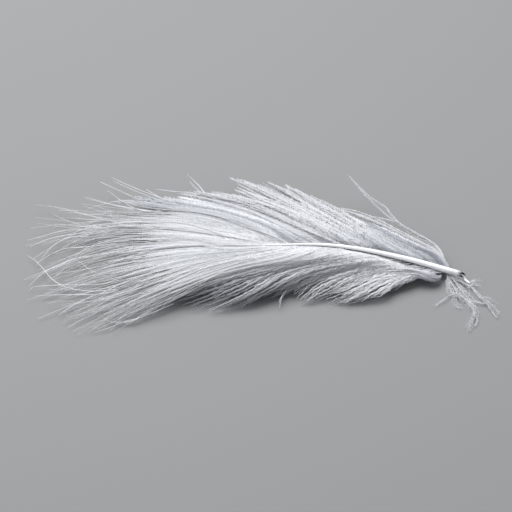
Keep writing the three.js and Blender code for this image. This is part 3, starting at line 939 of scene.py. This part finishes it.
# Hairs of the fringe that show on their own
TIP_HAIRS = [
    [(124, 225.5, 3.4), (110, 220, 3.4), (90, 215, 3.2), (76, 211.5, 3.0), (58, 206.5, 2.8),
     (36, 204, 2.6)],
    [(110, 229, 3.2), (89, 225, 3.0), (76, 223.5, 2.8), (63, 219, 2.6), (52, 213.5, 2.6)],
    [(100, 228, 3.0), (74, 225.5, 2.8), (58, 224.5, 2.6), (47, 226, 2.4), (30, 228.5, 2.2)],
    [(128, 223.5, 3.4), (112, 226, 3.2), (96, 229, 3.0), (72, 230, 2.8), (55, 233, 2.6),
     (30, 240, 2.2)],
    [(138, 220, 3.6), (117, 228.5, 3.4), (89, 233, 3.0), (63, 236, 2.8), (45, 241, 2.4),
     (30.5, 247.5, 2.2)],
    [(110, 232, 3.2), (81, 235.5, 2.8), (65, 238.5, 2.6), (45, 250.5, 2.2), (34, 258, 2.0)],
    [(90, 236, 3.0), (70, 238, 2.8), (57, 243, 2.6), (48, 251, 2.2), (36, 266, 1.8)],
    [(117, 243, 3.2), (96, 246, 3.0), (81, 247.5, 2.8), (65, 249, 2.6), (52, 254, 2.2), (38, 263, 1.8)],
    [(118, 249.5, 3.2), (96, 256, 2.8), (74, 259, 2.4), (59, 266, 2.0), (47, 270, 1.8), (26, 279, 1.4)],
    [(100, 254, 2.8), (76, 258, 2.4), (61, 263.5, 2.0), (48, 269.5, 1.8), (39.5, 275.5, 1.6),
     (30, 285, 1.4)],
    [(116, 280, 2.6), (101, 284, 2.2), (66, 285, 1.8), (48, 285.5, 1.6), (35, 287, 1.4),
     (31, 291, 1.2)],
    [(120, 290, 2.4), (98, 293.5, 2.0), (74, 293.5, 1.8), (52, 294, 1.4), (37, 295, 1.2)],
    [(120, 281, 2.6), (102, 274.5, 2.6), (89, 269, 2.4), (81, 262.5, 2.2), (69, 257, 2.0)],
    [(122, 289, 2.4), (92, 291, 2.0), (70, 288, 1.8), (54, 280, 1.8), (44, 269, 1.6), (36, 261, 1.4),
     (29, 256.5, 1.3)],
    [(130, 280, 2.6), (114, 287.5, 2.4), (100, 294, 2.0), (71, 305.5, 1.6), (56, 311.5, 1.2),
     (41, 318, 1.0)],
    [(130, 297, 2.2), (113, 302.5, 2.0), (96, 309, 1.6), (81, 314.5, 1.2), (65, 322, 0.9)],
    [(122, 298, 2.2), (106, 306, 1.8), (96, 313.5, 1.4), (84, 319, 1.2), (71, 326, 0.9)],
    [(175, 303, 2.0), (161, 309, 1.8), (141, 317, 1.4), (126, 321, 1.2), (110, 327.5, 1.0),
     (96, 331.5, 0.8)],
    [(95, 295, 2.0), (76, 304, 1.6), (68, 309, 1.4), (61, 314, 1.2)],
    [(140, 318, 1.4), (128, 321, 1.2), (117, 321, 1.0), (110, 320, 1.0), (104, 316.5, 1.0)],
]
# Painted shade: the cover is a little darker towards its tips
COVER_TONES = ((1.0, 0.65), (1.0, 0.7))
rng = np.random.default_rng(5)
under = grow_barbs(
    rng, TIP_GUIDES, count=100, locks=16, gather=0.1, layers=(0.15, 0.85), cuts=(0.5, 0.8),
    wander=0.6, stray=0.6,
)
cover = grow_barbs(
    rng, TIP_GUIDES, count=250, locks=60, gather=0.1, layers=(0.997, 1.008), cuts=(0.52, 0.8),
    wander=0.2, stray=0.4,
)
over = grow_barbs(
    rng, TIP_GUIDES, count=270, locks=70, gather=0.2, layers=(0.7, 0.98), cuts=(0.64, 1.0),
    wander=0.9, stray=1.6,
)
fringe = grow_barbs(
    rng, TIP_GUIDES, count=130, locks=60, gather=0.0, layers=(0.8, 1.06), cuts=(0.9, 1.04),
    wander=0.8, stray=2.4,
)
hairs = strand_lines(rng, TIP_HAIRS, count=1, spread=0.12, cuts=(1.0, 1.04))
down_piece("tip_plume_under", "tip_plume", [
    barb_arrays(rng, under, tip_fringe=0.35, bare=0.9, step=0.24),
])
down_piece("tip_plume_cover", "tip_plume", [
    barb_arrays(
        rng, cover, hair=0.05, fringe=2.2, roundness=0.1, tones=COVER_TONES, loose=0.25, step=0.18,
    ),
])
down_piece("tip_plume_over", "tip_plume", [
    barb_arrays(rng, over, hair=0.11, fringe=1.1, tip_fringe=0.15, bare=0.46, tones=BRIGHT_TONE),
])
down_piece("tip_plume_fringe", "tip_plume", [
    barb_arrays(rng, fringe, step=0.3, **dict(FINE_HAIR, hair=0.1)),
    barb_arrays(rng, hairs, **FINE_HAIR),
])

# Stray lock
# A loose lock of barbs that rises from the foot of the far vane, runs along its edge and then
# leaves it in two strands that meet again at the tip.
STRAY_FOOT = [(447, 268, 2.4), (440, 251, 3.2), (430, 241.5, 3.8), (418, 235, 4.2), (402, 225, 5.0)]
STRAY_ENDS = [
    [(392, 215, 5.4), (387, 208, 5.8), (379, 202.5, 6.2), (366, 193, 6.9), (348, 173.5, 7.9)],
    [(388, 216, 5.4), (380, 209, 5.8), (372, 201, 6.3), (363, 192, 6.8), (348.5, 174, 7.9)],
    [(395, 222, 4.8), (384, 219, 4.8), (377, 217.5, 4.7), (369.5, 218, 4.7)],
]
rng = np.random.default_rng(6)
strands = strand_lines(
    rng, [STRAY_FOOT + end for end in STRAY_ENDS], count=5, spread=0.16, cuts=(0.93, 1.0),
)
bundle = strand_lines(rng, [STRAY_FOOT], count=8, spread=0.35, cuts=(0.8, 1.0))
down_piece("stray_lock_down", "stray_lock", [
    barb_arrays(
        rng, strands, hair=0.07, fringe=0.8, tip_fringe=0.7, lean=0.3, step=0.1, span=1, keep=0.8,
    ),
    barb_arrays(rng, bundle, fringe=0.6, tip_fringe=0.3),
])

# Afterfeather
# A small second plume at the foot of the quill: a few weak barbs with long loose barbules that
# hang off the underside and lie frayed on the surface.
WISPS = [
    [(446, 273, 1.8), (448.3, 281, 1.1), (449.5, 287, 1.0), (452, 292.5, 0.9), (461, 296.5, 0.9),
     (467.6, 301.5, 0.8), (471, 307.5, 0.8), (473.4, 313.7, 0.7), (471, 320, 0.7), (468.2, 326, 0.6),
     (466, 332, 0.5)],
    [(446.5, 273, 1.8), (450, 282, 1.1), (454, 289, 1.0), (455.5, 293.5, 0.9), (452, 294.8, 0.8),
     (447.6, 295.6, 0.8), (443, 299.4, 0.7), (438.4, 302.8, 0.6), (434, 306.5, 0.5)],
    [(448.5, 273.5, 1.8), (456.7, 285, 1.1), (463, 293, 1.0), (468.2, 298.8, 0.9), (474.5, 301, 0.9),
     (480, 303, 0.8), (485.4, 303.6, 0.8), (488.5, 308, 0.7), (492.3, 313.7, 0.6), (496, 318.5, 0.5)],
    [(449.5, 274, 1.8), (460.2, 281.5, 1.2), (469.4, 286, 1.0), (473.4, 289.6, 1.0), (479, 296, 0.9),
     (484.3, 300.5, 0.8), (489, 304.5, 0.7), (494, 309.5, 0.6), (498.5, 315.5, 0.5)],
    [(455.5, 293.5, 0.9), (463, 298, 0.9), (469, 303.5, 0.8), (473.4, 313.7, 0.7), (475, 319, 0.7),
     (474.5, 323.5, 0.6), (472.6, 326, 0.5)],
]
# Barbules that cross between the barbs like a web
WEB = [
    [(447, 274, 1.8), (449, 284, 1.0), (453, 295, 0.8), (453.5, 301, 0.8), (457, 306.5, 0.7),
     (462.5, 305, 0.7)],
    [(448, 274, 1.8), (452, 283, 1.0), (460, 293.5, 0.9), (467, 299.5, 0.8), (476, 304, 0.7)],
    [(449, 274, 1.8), (458, 283.5, 1.0), (464.5, 291.5, 0.9), (472, 300.5, 0.8), (478, 308, 0.6)],
    [(450, 274, 1.8), (461, 281, 1.1), (467, 285.5, 1.0), (468.5, 291.5, 0.8)],
    [(447, 275, 1.7), (447, 283, 1.0), (449, 291, 0.8), (456, 294, 0.8), (466, 300, 0.7),
     (470, 310, 0.6)],
    [(471, 318, 0.7), (468, 324, 0.6), (464.5, 330.5, 0.5)],
    [(462, 298, 0.9), (468, 304, 0.8), (472, 311, 0.7), (470, 320, 0.6), (465.5, 334, 0.4)],
    [(466, 299, 0.9), (473, 308, 0.7), (475, 316, 0.6), (472, 327, 0.4)],
    [(452, 293, 0.9), (460, 297, 0.9), (467, 303, 0.8), (474, 309, 0.6)],
    [(480, 299, 0.8), (487, 304.5, 0.7), (492, 311, 0.6), (497, 318, 0.4)],
    [(479, 296, 0.8), (488, 301.5, 0.7), (496, 308, 0.5)],
    [(468, 283.5, 1.1), (473.4, 281, 1.0), (479, 280, 0.9)],
    [(469, 286, 1.0), (474, 284.2, 1.0), (478.5, 286, 0.8)],
]
rng = np.random.default_rng(7)
strands = strand_lines(rng, WISPS, count=2, spread=0.16, cuts=(0.9, 1.0))
threads = strand_lines(rng, WEB, count=6, spread=0.5, cuts=(0.7, 1.0))
down_piece("afterfeather_down", "afterfeather", [
    barb_arrays(
        rng, strands, hair=0.07, fringe=1.4, tip_fringe=1.3, roundness=0.0, lean=0.34, step=0.1,
        span=1, keep=0.4,
    ),
    barb_arrays(
        rng, threads, hair=0.03, fringe=1.2, tip_fringe=0.8, roundness=0.0, lean=0.4, step=0.1,
        span=1, keep=0.2,
    ),
])

# Floor
# A plain pale grey floor under the feather.
FLOOR_SIZE = 3
FLOOR_GREY = (0.25, 0.25, 0.251, 1)
FLOOR_ROUGHNESS = 0.8
floor_mesh = bpy.data.meshes.new("floor")
bm = bmesh.new()
bmesh.ops.create_grid(bm, x_segments=1, y_segments=1, size=FLOOR_SIZE)
bm.to_mesh(floor_mesh)
bm.free()
floor = bpy.data.objects.new("floor", floor_mesh)
bpy.context.scene.collection.objects.link(floor)
paper, _, _, paper_shader = new_material("floor")
paper_shader.inputs["Base Color"].default_value = FLOOR_GREY
paper_shader.inputs["Roughness"].default_value = FLOOR_ROUGHNESS
floor_mesh.materials.append(paper)

# Lights
# A soft key light from behind on the left, a weak fill from the front and a pale surround.
SURROUND = (0.88, 0.93, 1, 1)
SURROUND_STRENGTH = 0.36


def lamp(name, place, size, power):
    """A square lamp that shines at the middle of the floor."""
    data = bpy.data.lights.new(name, "AREA")
    data.size = size
    data.energy = power
    item = bpy.data.objects.new(name, data)
    item.location = place
    item.rotation_euler = (-Vector(place)).to_track_quat("-Z", "Y").to_euler()
    bpy.context.scene.collection.objects.link(item)


lamp("key", place=(-0.12, 0.25, 0.58), size=0.6, power=6.2)
lamp("fill", place=(-0.3, -0.5, 0.4), size=0.5, power=0.4)
world = bpy.data.worlds.new("studio")
bpy.context.scene.world = world
world.use_nodes = True
world.node_tree.nodes["Background"].inputs["Color"].default_value = SURROUND
world.node_tree.nodes["Background"].inputs["Strength"].default_value = SURROUND_STRENGTH

# Camera
# A long lens that looks down at 45 degrees from the near side, with the feather lying across.
# Many bounces let the white down glow, and unsmoothed guides let the denoiser keep single hairs.
LENS = 400
SENSOR = 36
FRAME_WIDTH = 0.14336
TARGET = Vector((-0.00214, -0.0006, 0.003))
LOOKING_DOWN = math.radians(45)
BARB_TO_BARB = 12
camera_data = bpy.data.cameras.new("camera")
camera_data.lens = LENS
camera_data.sensor_width = SENSOR
camera = bpy.data.objects.new("camera", camera_data)
back = Vector((0, -math.cos(LOOKING_DOWN), math.sin(LOOKING_DOWN)))
camera.location = TARGET + back * (FRAME_WIDTH * LENS / SENSOR)
camera.rotation_euler = (-back).to_track_quat("-Z", "Y").to_euler()
bpy.context.scene.collection.objects.link(camera)
bpy.context.scene.camera = camera
bpy.context.scene.view_settings.view_transform = "Standard"
bpy.context.scene.cycles.diffuse_bounces = BARB_TO_BARB
bpy.context.scene.cycles.denoising_prefilter = "NONE"
